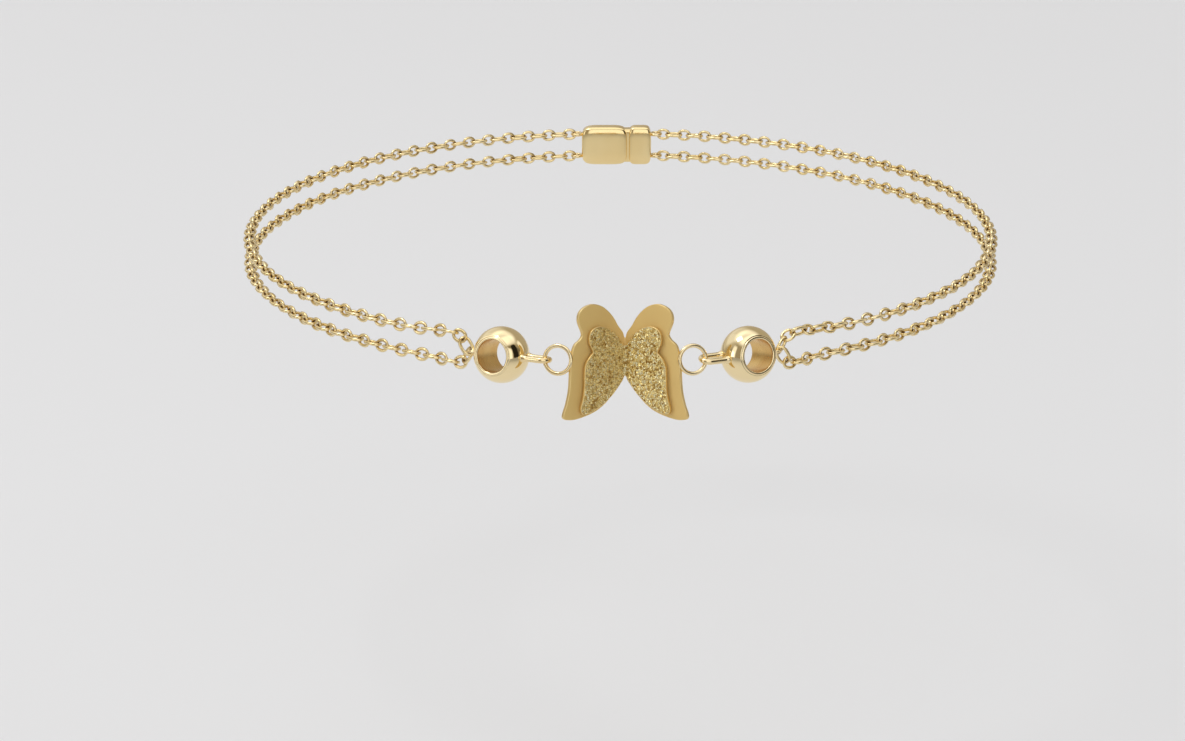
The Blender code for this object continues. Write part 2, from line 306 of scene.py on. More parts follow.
def wire_path(path, radii, side, section=20):
    """Round wire carried along a path: each point gets a circle of its own radius, in the
    plane of the side direction and the path's normal. Both ends close to a pole."""
    path = np.asarray(path, float)
    along = np.gradient(path, axis=0)
    along /= np.linalg.norm(along, axis=1, keepdims=True)
    side = np.broadcast_to(side, path.shape)
    out = np.cross(side, along)
    roll = np.linspace(0, 2 * np.pi, section, endpoint=False)
    circle = out[:, None] * np.cos(roll)[:, None] + side[:, None] * np.sin(roll)[:, None]
    tube = path[:, None] + np.asarray(radii)[:, None, None] * circle
    points = np.concatenate([tube.reshape(-1, 3), path[[0]], path[[-1]]])
    rows = len(path)
    faces = grid_faces(rows, section)
    j = np.arange(section)
    k = (j + 1) % section
    first, last = rows * section, rows * section + 1
    near = np.stack([k, j, k * 0 + first, k * 0 + first], -1)
    end = (rows - 1) * section
    far = np.stack([end + j, end + k, j * 0 + last, j * 0 + last], -1)
    return points, np.concatenate([faces, near, far])


# Finishes


def group(name, inputs, outputs):
    """Empty shader node group with named sockets."""
    tree = bpy.data.node_groups.new(name, "ShaderNodeTree")
    for label, kind, value in inputs:
        socket = tree.interface.new_socket(label, in_out="INPUT", socket_type=kind)
        socket.default_value = value
    for label, kind in outputs:
        tree.interface.new_socket(label, in_out="OUTPUT", socket_type=kind)
    return tree, tree.nodes.new("NodeGroupInput"), tree.nodes.new("NodeGroupOutput")


def node(tree, kind, links=(), **values):
    """New node with its properties set and sockets linked as (input, output) pairs."""
    made = tree.nodes.new(kind)
    for key, value in values.items():
        setattr(made, key, value)
    for socket, source in links:
        if isinstance(source, bpy.types.NodeSocket):
            tree.links.new(source, made.inputs[socket])
        else:
            made.inputs[socket].default_value = source
    return made


def blend(tree, share, first, second):
    """Colour that goes from the first to the second as the share goes from 0 to 1."""
    sockets = [(0, share), (6, first), (7, second)]
    return node(tree, "ShaderNodeMix", sockets, data_type="RGBA").outputs[2]


def handled_metal_group():
    """Slight unevenness of plated metal: the plating's colour drifts between two tones in
    soft clouds, roughness follows fine wipe marks, and a shallow bump keeps reflections from
    being perfect. Marks are noise stretched along one direction of the object."""
    tree, given, out = group(
        "handled_metal",
        [
            ("Tone", "NodeSocketColor", (0.9, 0.7, 0.35, 1)),
            ("Deep Tone", "NodeSocketColor", (0.8, 0.55, 0.2, 1)),
            ("Cloud Scale", "NodeSocketFloat", 400.0),
            ("Mark Scale", "NodeSocketFloat", 3000.0),
            ("Rough Low", "NodeSocketFloat", 0.08),
            ("Rough High", "NodeSocketFloat", 0.2),
            ("Bump", "NodeSocketFloat", 0.1),
        ],
        [
            ("Colour", "NodeSocketColor"),
            ("Roughness", "NodeSocketFloat"),
            ("Normal", "NodeSocketVector"),
        ],
    )
    place = node(tree, "ShaderNodeTexCoord")
    cloud = node(
        tree,
        "ShaderNodeTexNoise",
        [
            ("Vector", place.outputs["Object"]),
            ("Scale", given.outputs["Cloud Scale"]),
            ("Detail", 2.0),
        ],
    )
    soft = node(
        tree,
        "ShaderNodeMapRange",
        [("Value", cloud.outputs["Fac"]), ("From Min", 0.35), ("From Max", 0.7)],
        interpolation_type="SMOOTHSTEP",
    )
    tint = blend(tree, soft.outputs["Result"], given.outputs["Tone"], given.outputs["Deep Tone"])
    stretch = node(
        tree,
        "ShaderNodeMapping",
        [("Vector", place.outputs["Object"]), ("Scale", (1.0, 1.0, 0.18))],
    )
    marks = node(
        tree,
        "ShaderNodeTexNoise",
        [
            ("Vector", stretch.outputs["Vector"]),
            ("Scale", given.outputs["Mark Scale"]),
            ("Detail", 3.0),
        ],
    )
    rough = node(
        tree,
        "ShaderNodeMapRange",
        [
            ("Value", marks.outputs["Fac"]),
            ("From Min", 0.3),
            ("From Max", 0.75),
            ("To Min", given.outputs["Rough Low"]),
            ("To Max", given.outputs["Rough High"]),
        ],
    )
    bump = node(
        tree,
        "ShaderNodeBump",
        [
            ("Strength", given.outputs["Bump"]),
            ("Distance", 0.00002),
            ("Height", marks.outputs["Fac"]),
        ],
    )
    tree.links.new(tint, out.inputs["Colour"])
    tree.links.new(rough.outputs["Result"], out.inputs["Roughness"])
    tree.links.new(bump.outputs["Normal"], out.inputs["Normal"])
    return tree


HANDLED = handled_metal_group()


def metal(name, metallic=1.0, **values):
    """Plated metal with the handled_metal effect at its own values."""
    made = bpy.data.materials.new(name)
    made.use_nodes = True
    tree = made.node_tree
    shader = tree.nodes["Principled BSDF"]
    shader.inputs["Metallic"].default_value = metallic
    sockets = [(label.replace("_", " "), value) for label, value in values.items()]
    effect = node(tree, "ShaderNodeGroup", sockets, node_tree=HANDLED)
    tree.links.new(effect.outputs["Colour"], shader.inputs["Base Color"])
    tree.links.new(effect.outputs["Roughness"], shader.inputs["Roughness"])
    tree.links.new(effect.outputs["Normal"], shader.inputs["Normal"])
    return made


def paint_contact_shade(made, tone):
    """Paints shade: darkens a metal's colour towards a dark tone where the piece's per-point value
    is high, standing in for the shade where parts touch.
    """
    tree = made.node_tree
    shader = tree.nodes["Principled BSDF"]
    clean = shader.inputs["Base Color"].links[0].from_socket
    contact_shade = node(tree, "ShaderNodeAttribute", attribute_name="contact_shade")
    tree.links.new(blend(tree, contact_shade.outputs["Fac"], clean, tone), shader.inputs["Base Color"])


GRAIN_SCALE = 5400.0
GRAIN_TILT = 0.6
GRAIN_DARK = (0.34, 0.17, 0.02, 1)
GRAIN_GOLD = (1.0, 0.78, 0.29, 1)
GRAIN_PALE = (1.0, 0.93, 0.58, 1)
# Colour painted into the gaps between grains as shade
GRAIN_GAP_SHADE = (0.46, 0.26, 0.05, 1)


def stardust(name):
    """Diamond-dust finish: the face is packed with pebbled grains, one per Voronoi cell. Each
    has its own tilt, tone and gloss; its crown keeps its tone and the gaps between are painted
    dark as shade."""
    made = bpy.data.materials.new(name)
    made.use_nodes = True
    tree = made.node_tree
    shader = tree.nodes["Principled BSDF"]
    shader.inputs["Metallic"].default_value = 0.6
    place = node(tree, "ShaderNodeTexCoord")
    grain = node(
        tree,
        "ShaderNodeTexVoronoi",
        [("Vector", place.outputs["Object"]), ("Scale", GRAIN_SCALE)],
    )
    gap = node(
        tree,
        "ShaderNodeTexVoronoi",
        [("Vector", place.outputs["Object"]), ("Scale", GRAIN_SCALE)],
        feature="DISTANCE_TO_EDGE",
    )
    centred = node(
        tree,
        "ShaderNodeVectorMath",
        [(0, grain.outputs["Color"]), (1, (0.5, 0.5, 0.5))],
        operation="SUBTRACT",
    )
    surface = node(tree, "ShaderNodeNewGeometry")
    leaning = node(
        tree,
        "ShaderNodeVectorMath",
        [(0, centred.outputs[0]), (1, (GRAIN_TILT,) * 3), (2, surface.outputs["Normal"])],
        operation="MULTIPLY_ADD",
    )
    tilted = node(
        tree, "ShaderNodeVectorMath", [(0, leaning.outputs[0])], operation="NORMALIZE"
    )
    crown = node(
        tree,
        "ShaderNodeMapRange",
        [("Value", gap.outputs["Distance"]), ("From Max", 0.12)],
        interpolation_type="SMOOTHSTEP",
    )
    pebble = node(
        tree,
        "ShaderNodeBump",
        [
            ("Strength", 0.8),
            ("Distance", 0.00004),
            ("Height", crown.outputs["Result"]),
            ("Normal", tilted.outputs[0]),
        ],
    )
    tree.links.new(pebble.outputs["Normal"], shader.inputs["Normal"])
    parts = node(tree, "ShaderNodeSeparateColor", [("Color", grain.outputs["Color"])])
    tones = node(tree, "ShaderNodeValToRGB", [("Fac", parts.outputs["Red"])])
    ramp = tones.color_ramp
    ramp.elements[0].color = GRAIN_DARK
    ramp.elements[1].color = GRAIN_PALE
    ramp.elements.new(0.35).color = GRAIN_GOLD
    # Painted shade: the grain's colour darkens towards the gap colour away from its crown
    shade = blend(tree, crown.outputs["Result"], GRAIN_GAP_SHADE, tones.outputs["Color"])
    tree.links.new(shade, shader.inputs["Base Color"])
    rough = node(
        tree,
        "ShaderNodeMapRange",
        [("Value", parts.outputs["Green"]), ("To Min", 0.13), ("To Max", 0.34)],
    )
    tree.links.new(rough.outputs["Result"], shader.inputs["Roughness"])
    return made


satin_gold = metal(
    "satin_gold",
    metallic=0.15,
    Tone=(0.775, 0.545, 0.195, 1),
    Deep_Tone=(0.755, 0.525, 0.185, 1),
    Cloud_Scale=260.0,
    Mark_Scale=2600.0,
    Rough_Low=0.46,
    Rough_High=0.56,
    Bump=0.08,
)
cut_edge_gold = metal(
    "cut_edge_gold",
    Tone=(0.86, 0.66, 0.31, 1),
    Deep_Tone=(0.82, 0.61, 0.26, 1),
    Cloud_Scale=500.0,
    Mark_Scale=4000.0,
    Rough_Low=0.30,
    Rough_High=0.42,
    Bump=0.08,
)
stardust_gold = stardust("stardust_gold")
polished_gold = metal(
    "polished_gold",
    Tone=(0.95, 0.78, 0.46, 1),
    Deep_Tone=(0.93, 0.75, 0.42, 1),
    Cloud_Scale=220.0,
    Mark_Scale=900.0,
    Rough_Low=0.05,
    Rough_High=0.10,
    Bump=0.012,
)
# Bore finish: its rougher gloss is its own; its deeper, darker tone is shade painted into the hole
bore_gold_painted_shade = metal(
    "bore_gold_painted_shade",
    Tone=(0.76, 0.50, 0.18, 1),
    Deep_Tone=(0.68, 0.40, 0.12, 1),
    Cloud_Scale=300.0,
    Mark_Scale=700.0,
    Rough_Low=0.24,
    Rough_High=0.32,
    Bump=0.01,
)
wire_gold = metal(
    "wire_gold",
    Tone=(0.92, 0.76, 0.46, 1),
    Deep_Tone=(0.88, 0.69, 0.37, 1),
    Cloud_Scale=350.0,
    Mark_Scale=1800.0,
    Rough_Low=0.10,
    Rough_High=0.20,
    Bump=0.03,
)
chain_gold = metal(
    "chain_gold",
    Tone=(0.94, 0.77, 0.44, 1),
    Deep_Tone=(0.87, 0.68, 0.34, 1),
    Cloud_Scale=300.0,
    Mark_Scale=2200.0,
    Rough_Low=0.10,
    Rough_High=0.22,
    Bump=0.04,
)
# Painted shade on the chain where the links touch each other
paint_contact_shade(chain_gold, (0.25, 0.135, 0.04, 1))
clasp_gold = metal(
    "clasp_gold",
    Tone=(0.92, 0.73, 0.38, 1),
    Deep_Tone=(0.89, 0.68, 0.33, 1),
    Cloud_Scale=200.0,
    Mark_Scale=1200.0,
    Rough_Low=0.10,
    Rough_High=0.18,
    Bump=0.03,
)


# Butterfly


def closed_outline(table, reach, tall, count):
    """Whole outline of both wings: a Catmull-Rom curve through the half outline and its
    mirror image, then spaced evenly along its length. The spine's two crotches stay sharp,
    since each half is curved by itself."""
    rows = table * (reach, tall)
    ends = rows[[1, -2]] * (-1, 1)
    rows = np.concatenate([ends[:1], rows, ends[1:]])
    a, b, c, d = (rows[i : len(rows) - 3 + i, None] for i in range(4))
    t = np.linspace(0, 1, 24, endpoint=False)[None, :, None]
    curve = (
        2 * b
        + (c - a) * t
        + (2 * a - 5 * b + 4 * c - d) * t**2
        + (3 * b - a - 3 * c + d) * t**3
    ) / 2
    curve = np.concatenate([curve.reshape(-1, 2), rows[-2:-1]])
    length = np.concatenate([[0], np.cumsum(np.linalg.norm(np.diff(curve, axis=0), axis=1))])
    even = np.linspace(0, length[-1], count)
    half = np.stack([np.interp(even, length, curve[:, k]) for k in (0, 1)], -1)
    return np.concatenate([half, half[-2:0:-1] * (-1, 1)])


def folded(out, up, offset, fold, forward):
    """Bend of the flat plate: out runs along an arc of FOLD_RADIUS at the spine and then
    straight on at the fold angle; offset is measured along the plate's own normal."""
    size = np.abs(out)
    turn = np.minimum(size / FOLD_RADIUS, fold)
    rest = np.maximum(size - FOLD_RADIUS * fold, 0.0)
    x = FOLD_RADIUS * np.sin(turn) + rest * np.cos(fold) - offset * np.sin(turn)
    y = FOLD_RADIUS * (1 - np.cos(turn)) + rest * np.sin(fold) + offset * np.cos(turn)
    return np.stack([np.sign(out) * x, -(y + forward), up + 0 * x], -1)


def plate(name, table, reach, tall, thick, fold, forward, centre, front, cad):
    """Folded plate with rounded edges: a profile that runs from the middle of the front face
    to the edge, round it and back to the middle of the back face, carried along the outline.
    Share is how far a row lies from the centre to the rim, inset how far in from the edge as
    a share of its round, and depth how far from the plate's middle."""
    outline = closed_outline(table, reach, tall, OUTLINE_POINTS)
    along = np.roll(outline, -1, axis=0) - np.roll(outline, 1, axis=0)
    along /= np.linalg.norm(along, axis=1, keepdims=True)
    normal = np.stack([-along[:, 1], along[:, 0]], -1)
    normal *= np.sign((normal * (outline - centre)).sum(1).mean())
    half = thick / 2
    bend = np.linspace(0, np.pi / 2, EDGE_ROWS)
    flat = np.linspace(0.0, 1.0, FACE_ROWS)
    back = flat[-2::-1]
    edge_count = 2 * EDGE_ROWS - 1
    share = np.concatenate([flat, np.ones(edge_count), back])
    round_in = 1 - np.sin(bend[1:])
    round_out = 1 - np.sin(bend[-2::-1])
    inset = np.concatenate([flat * 0 + 1, round_in, [0.0], round_out, back * 0 + 1])
    depth = np.concatenate(
        [
            flat * 0 + half,
            half - PLATE_EDGE * (1 - np.cos(bend[1:])),
            [0.0],
            PLATE_EDGE * (1 - np.cos(bend[-2::-1])) - half,
            back * 0 - half,
        ]
    )
    rim = outline - normal * PLATE_EDGE
    body = centre + (rim - centre) * share[:, None, None]
    body = body + normal * (PLATE_EDGE * (1 - inset))[:, None, None]
    points = folded(body[..., 0], body[..., 1], depth[:, None], fold, forward)
    rows, columns = points.shape[:2]
    points = FRONT.place(points.reshape(-1, 3))
    points, faces = closed_at_poles(points, rows, columns)
    row = np.repeat(np.arange(rows - 1), columns)
    pick = np.where(row < FACE_ROWS - 1, 0, np.where(row < FACE_ROWS - 1 + edge_count, 1, 2))
    finishes = [front, cut_edge_gold, satin_gold]
    piece(name, points, faces, finishes, [cad], pick)


def closed_at_poles(points, rows, columns):
    """Faces of a grid whose first and last rows are single points, turned outwards by the
    sign of the volume under them, and the points that the faces use."""
    last = (rows - 1) * columns
    faces = grid_faces(rows, columns)
    faces = np.where(faces < columns, 0, np.where(faces >= last, last, faces))
    a, b, c, d = (points[faces[:, k]] for k in range(4))
    if (np.cross(a, b) * c).sum() + (np.cross(a, c) * d).sum() < 0:
        faces = faces[:, ::-1]
    used, index = np.unique(faces, return_inverse=True)
    return points[used], index.reshape(faces.shape)


plate(
    "outer_plate",
    OUTER_OUTLINE,
    OUTER_REACH,
    OUTER_TALL,
    OUTER_THICK,
    OUTER_FOLD,
    0.0,
    np.array([0.0, 0.0]),
    satin_gold,
    "outer_wings",
)
plate(
    "inner_plate",
    INNER_OUTLINE - INNER_OUTLINE[:, :1] * (0.0, INNER_DROP),
    INNER_REACH,
    INNER_TALL,
    INNER_THICK,
    INNER_FOLD,
    INNER_FORWARD,
    np.array([0.0, -0.5]),
    stardust_gold,
    "inner_wings",
)

for side, word in SIDES:
    edge_out = RING_SHARE_OF_REACH * OUTER_REACH
    reach = RING_RADIUS - RING_SINK
    seat = FRONT.then(
        turned(-side * RING_YAW, "Z"),
        (
            side * (edge_out * np.cos(OUTER_FOLD) + reach * np.cos(RING_YAW)),
            -edge_out * np.sin(OUTER_FOLD) - reach * np.sin(RING_YAW),
            RING_LEVEL,
        ),
    )
    points, faces = wire_ring(RING_RADIUS, RING_WIRE)
    piece("ring_" + word, seat.place(points), faces, [wire_gold], ["outer_wings"])


# Beads


def barrel():
    """Bead turned round Y: the profile is a crown arc, a small step, a rounded lip, a straight
    bore and the same lip and step again, carried round a full turn."""
    centre = BEAD_RADIUS - BEAD_CROWN
    tilt = np.arcsin((BEAD_HALF - LIP_ROUND) / BEAD_CROWN)
    crown = np.linspace(-tilt, tilt, CROWN_POINTS)
    crown = np.stack([centre + BEAD_CROWN * np.cos(crown), BEAD_CROWN * np.sin(crown)], -1)
    half_lip = (crown[-1, 0] - LIP_STEP - BORE_RADIUS) / 2
    curve = np.linspace(0, np.pi, LIP_POINTS + 1)[:-1]
    lip = np.stack(
        [
            BORE_RADIUS + half_lip + half_lip * np.cos(curve),
            BEAD_HALF - LIP_ROUND + LIP_ROUND * np.sin(curve),
        ],
        -1,
    )
    lip[0, 1] -= LIP_STEP
    wall = np.linspace(BEAD_HALF - LIP_ROUND, LIP_ROUND - BEAD_HALF, WALL_POINTS)
    wall = np.stack([BORE_RADIUS + 0 * wall, wall], -1)
    profile = np.concatenate([crown, lip, wall, lip[::-1] * (1, -1)])
    turn = np.linspace(0, 2 * np.pi, BEAD_TURNS, endpoint=False)[:, None]
    x = profile[:, 0] * np.cos(turn)
    y = profile[:, 1] + 0 * turn
    z = profile[:, 0] * np.sin(turn)
    points = np.stack([x, y, z], -1).reshape(-1, 3)
    faces = grid_faces(BEAD_TURNS, len(profile), True)
    column = np.tile(np.arange(len(profile)), BEAD_TURNS)
    first = len(crown) + len(lip)
    inside = (column >= first - 1) & (column < first + len(wall))
    return points, faces, inside.astype(int)


def long_loop(side):
    """U of round wire in the plane of the bore: two straight legs out of the bead and a half
    circle that joins them, with the wire swelling a little where it is soldered."""
    spread = LOOP_SPREAD / 2
    centre = LOOP_REACH - LOOP_WIRE / 2 - spread
    root = BEAD_RADIUS - LOOP_SINK
    leg = np.linspace(root, centre, 28, endpoint=False)
    bow = np.linspace(-np.pi / 2, np.pi / 2, 33)
    x = np.concatenate([leg, centre + spread * np.cos(bow), leg[::-1]])
    y = np.concatenate([leg * 0 - spread, spread * np.sin(bow), leg * 0 + spread])
    swell = SOLDER_SWELL * np.exp(-(((x - BEAD_RADIUS + SOLDER_SINK) / SOLDER_SPREAD) ** 2))
    path = np.stack([-side * x, -side * y, 0 * x], -1)
    return wire_path(path, LOOP_WIRE / 2 + swell, np.array([0.0, 0.0, 1.0]))


bead_seats = {}
for side, word in SIDES:
    seat = FRONT.then(turned(side * BEAD_YAW, "Z"), (side * BEAD_OFFSET, BEAD_DEPTH, 0.0))
    seat = seat.then(turned(-side * BEAD_TURN, "Y"))
    bead_seats[side] = seat
    cad = ["bead_" + word]
    points, faces, inside = barrel()
    finishes = [polished_gold, bore_gold_painted_shade]
    piece("barrel_" + word, seat.place(points), faces, finishes, cad, inside)
    points, faces = long_loop(side)
    rolled = seat.then(turned(LOOP_ROLL[side], "X"))
    piece("loop_" + word, rolled.place(points), faces, [wire_gold], cad)
    eye_out = side * (EYE_REACH - EYE_WIRE / 2 - EYE_RADIUS)
    flat = seat.then(turned(np.pi / 2, "X"), (eye_out, 0, 0))
    points, faces = wire_ring(EYE_RADIUS, EYE_WIRE, *SMALL_RING)
    piece("eye_" + word, flat.place(points), faces, [wire_gold], cad)


# Chain


def link_shape(length, oval, around=16, section=6):
    """One link: round wire carried round a superellipse in the XZ plane, long along X. The
    last value tells how near each point is to the bend's inner face, where the next link touches
    and shade is painted."""
    turn = np.linspace(0, 2 * np.pi, around, endpoint=False)
    c, s = np.cos(turn), np.sin(turn)
    power = 2 / oval
    a, b = (length - LINK_WIRE) / 2, (LINK_WIDTH - LINK_WIRE) / 2
    ring = np.stack([a * np.sign(c) * np.abs(c) ** power, b * np.sign(s) * np.abs(s) ** power], -1)
    along = np.roll(ring, -1, axis=0) - np.roll(ring, 1, axis=0)
    along /= np.linalg.norm(along, axis=1, keepdims=True)
    out = np.stack([along[:, 1], -along[:, 0]], -1)
    roll = np.linspace(0, 2 * np.pi, section, endpoint=False)
    x = ring[:, None, 0] + LINK_WIRE / 2 * out[:, None, 0] * np.cos(roll)
    z = ring[:, None, 1] + LINK_WIRE / 2 * out[:, None, 1] * np.cos(roll)
    y = LINK_WIRE / 2 * np.sin(roll) + 0 * x
    at_end = np.clip((np.abs(ring[:, None, 0]) / a - CONTACT_SHADE_FROM) / CONTACT_SHADE_OVER, 0, 1)
    inward = np.clip(0.5 - 0.8 * np.cos(roll), 0, 1)
    contact_shaded = (at_end * inward).ravel()
    return np.stack([x, y, z], -1).reshape(-1, 3), grid_faces(around, section, True), contact_shaded


def first_link(side, level):
    """The link that hooks the bead's eye: it stands along the row's upward direction and
    leans a little out, its flat side partly turned away from the eye. Gives its centre,
    direction, width direction and the middle of the wire at its far end."""
    seat = bead_seats[side]
    outwards = seat.turn @ np.array([side, 0.0, 0.0])
    lean = np.radians(FIRST_LEAN[side, level])
    along = level * UP * np.cos(lean) + outwards * np.sin(lean)
    wide = outwards * np.cos(lean) - level * UP * np.sin(lean)
    wide = wide * np.cos(FIRST_TURN) + np.cross(along, wide) * np.sin(FIRST_TURN)
    aside = level * FIRST_ASIDE * np.cross(UP, outwards)
    wire = seat.place([side * (EYE_REACH - EYE_WIRE / 2), 0.0, 0.0])
    reach = (LONG_LENGTH - LINK_WIRE) / 2
    centre = wire + aside + along * (reach - (EYE_WIRE + LINK_WIRE) / 2)
    return centre, along, wide, centre + along * reach


def row_path(side, level):
    """Centre line of one row: from the far end of its first link it swells away from the
    other row, as distance times its falling exponential, while its radius and height ease
    to the circle round the ankle, which it follows to the clasp's eye."""
    start = first_link(side, level)[3]
    height = level * ROW_HEIGHT
    start_angle = np.arctan2(side * start[0], -start[1])
    start_radius = np.hypot(start[0], start[1])
    eye_x = CLASP_LENGTH / 2 + 2 * CLASP_EYE_RADIUS
    hook_x = eye_x - CLASP_EYE_WIRE / 2 - LINK_WIRE / 2
    end_angle = np.pi - np.arcsin(hook_x / STRAND_RADIUS)
    angle = start_angle + (end_angle - start_angle) * np.linspace(0, 1, ROW_STEPS) ** 1.5
    t = np.clip((angle - start_angle) / MERGE_ANGLE, 0, 1)
    ease = t * t * (3 - 2 * t)
    radius = start_radius + (STRAND_RADIUS - start_radius) * ease
    away = (angle - start_angle) * STRAND_RADIUS / SWELL_AT
    swell = level * ROW_SWELL[level] * away * np.exp(1 - away)
    rise = start[2] + (height - start[2]) * ease + swell
    x = side * radius * np.sin(angle)
    y = -radius * np.cos(angle)
    return np.stack([x, y, rise], -1)


def link_row(side, level):
    """Places, directions and width directions of a row's links. Each is turned a quarter
    turn from the last about the row, round links upright and long ones flat; the whole row
    rolls slowly from the bead to the side, and lies straight at the clasp."""
    path = row_path(side, level)
    length = np.concatenate([[0], np.cumsum(np.linalg.norm(np.diff(path, axis=0), axis=1))])
    run = length[-1] - (ROUND_LENGTH - 2 * LINK_WIRE)
    count = int(run / PITCH / 2) * 2 + 1
    pitch = run / (count - 1)
    centre = (ROUND_LENGTH - LINK_WIRE) / 2 - LINK_WIRE + pitch * np.arange(count)

    def point(at):
        return np.stack([np.interp(at, length, path[:, k]) for k in range(3)], -1)

    at = point(centre)
    along = point(centre + BEND_SPAN) - point(centre - BEND_SPAN)
    along /= np.linalg.norm(along, axis=1, keepdims=True)
    up = np.array([0.0, 0.0, 1.0]) - along[:, 2:] * along
    up /= np.linalg.norm(up, axis=1, keepdims=True)
    out = np.cross(along, up) * side
    settle = np.clip(centre / TILT_LENGTH[side, level], 0, 1)
    release = np.clip((length[-1] - centre) / RELEASE, 0, 1)
    start = START_TILT[side, level]
    tilt = start + (SIDE_TILT - start) * settle * settle * (3 - 2 * settle)
    tilt = np.radians(tilt * release * release * (3 - 2 * release))
    wobble = np.random.default_rng(7 + side + 2 * level).normal(0, LINK_WOBBLE, count)
    roll = np.pi / 2 * (np.arange(count) % 2) + wobble - tilt
    wide = up * np.cos(roll)[:, None] + out * np.sin(roll)[:, None]
    centre, forward, width, _ = first_link(side, level)
    at = np.concatenate([centre[None], at])
    along = np.concatenate([forward[None], along])
    wide = np.concatenate([width[None], wide])
    return at, along, wide


def chain_row(name, cad, side, level):
    """All the links of a row as one mesh: the long and round shapes set at every other
    place, all at once."""
    at, along, wide = link_row(side, level)
    thick = np.cross(wide, along)
    turn = np.stack([along, thick, wide], -1)
    long_link, faces, contact_shaded = link_shape(LONG_LENGTH, LONG_OVAL)
    round_link = link_shape(ROUND_LENGTH, ROUND_OVAL)[0]
    is_round = (np.arange(len(at)) % 2 == 1)[:, None, None]
    shape = np.where(is_round, round_link, long_link)
    points = np.einsum("nij,nmj->nmi", turn, shape) + at[:, None]
    offset = (np.arange(len(at)) * len(long_link))[:, None, None]
    faces = (faces[None] + offset).reshape(-1, 4)
    # Painted contact shade value for every point of every link
    contact_shade = np.tile(contact_shaded, len(at))
    points = points.reshape(-1, 3)
    piece(name, points, faces, [chain_gold], [cad], contact_shade=contact_shade)


for side, word in SIDES:
    for level, row in LEVELS:
        tag = word + "_" + row
        chain_row("links_" + tag, "chain_" + tag, side, level)


# Clasp


def soft_block(length, thick, tall, power):
    """Block with soft edges: a superellipsoid, whose sines and cosines are raised to a small
    power so that its faces go flat and its edges stay round."""
    rows, columns = 49, 96
    lat = np.linspace(-np.pi / 2, np.pi / 2, rows)[:, None]
    lon = np.linspace(0, 2 * np.pi, columns, endpoint=False)[None, :]

    def soft(v):
        return np.sign(v) * np.abs(v) ** (2 / power)

    x = length / 2 * soft(np.sin(lat)) + 0 * lon
    y = thick / 2 * soft(np.cos(lat)) * soft(np.cos(lon))
    z = tall / 2 * soft(np.cos(lat)) * soft(np.sin(lon))
    points = np.stack([x, y, z], -1).reshape(-1, 3)
    return closed_at_poles(points, rows, columns)


# Name, low and high end along the clasp, inset from its faces, and squareness
CLASP_PARTS = (
    ("clasp_box", -CLASP_LENGTH / 2, CLASP_SEAM - CLASP_SLIT / 2, 0.0, 5.0),
    ("clasp_tongue", CLASP_SEAM + CLASP_SLIT / 2, CLASP_LENGTH / 2, 0.0, 5.0),
    (
        "clasp_core",
        CLASP_SEAM - CLASP_CORE_REACH,
        CLASP_SEAM + CLASP_CORE_REACH,
        CLASP_CORE_INSET,
        8.0,
    ),
)
for name, low, high, inset, power in CLASP_PARTS:
    size = (high - low, CLASP_THICK - 2 * inset, CLASP_TALL - 2 * inset)
    points, faces = soft_block(*size, power)
    points = points + ((low + high) / 2, CLASP_DEPTH, 0.0)
    piece(name, points, faces, [clasp_gold], ["clasp"])
for side, word in SIDES:
    for level, row in LEVELS:
        points, faces = wire_ring(CLASP_EYE_RADIUS, CLASP_EYE_WIRE, *SMALL_RING)
        points = points @ turned(np.pi / 2, "X").T
        eye_out = side * (CLASP_LENGTH / 2 + CLASP_EYE_RADIUS)
        points = points + (eye_out, CLASP_DEPTH, level * ROW_HEIGHT)
        name = "clasp_eye_" + word + "_" + row
        piece(name, points, faces, [wire_gold], ["clasp"])


# Studio


FLOOR_LEVEL = -0.045
FLOOR_HALF = 4.0
# Floor colours for a painted pool of light: lit near the piece, painted shade far out
FLOOR_LIT_NEAR = (0.80, 0.80, 0.805, 1)
FLOOR_SHADED_FAR = (0.42, 0.42, 0.42, 1)


def floor_material():
    """Pale matt floor with a painted pool of light: its colour is brightest around and behind the
    piece and falls softly, as painted shade, to a mid grey far out to the front and sides."""
    made = bpy.data.materials.new("pale_floor")
    made.use_nodes = True
    tree = made.node_tree
    shader = tree.nodes["Principled BSDF"]
    shader.inputs["Roughness"].default_value = 0.85
    place = node(tree, "ShaderNodeTexCoord")
    spread = node(
        tree,
        "ShaderNodeMapping",
        [
            ("Vector", place.outputs["Object"]),
            ("Location", (0.0, -0.105, 0.0)),
            ("Scale", (1.0, 0.42, 0.0)),
        ],
    )
    far = node(tree, "ShaderNodeVectorMath", [(0, spread.outputs[0])], operation="LENGTH")
    # Painted falloff of light with distance from the piece
    painted_falloff = node(
        tree,
        "ShaderNodeMapRange",
        [("Value", far.outputs["Value"]), ("From Min", 0.12), ("From Max", 0.28)],
        interpolation_type="SMOOTHSTEP",
    )
    tone = blend(tree, painted_falloff.outputs["Result"], FLOOR_LIT_NEAR, FLOOR_SHADED_FAR)
    tree.links.new(tone, shader.inputs["Base Color"])
    return made


mesh = bpy.data.meshes.new("floor")
corners = [(-1, -1), (1, -1), (1, 1), (-1, 1)]
corners = [(FLOOR_HALF * x, FLOOR_HALF * y, FLOOR_LEVEL) for x, y in corners]
mesh.from_pydata(corners, [], [(0, 1, 2, 3)])
mesh.materials.append(floor_material())
floor = bpy.data.objects.new("floor", mesh)
bpy.context.scene.collection.objects.link(floor)


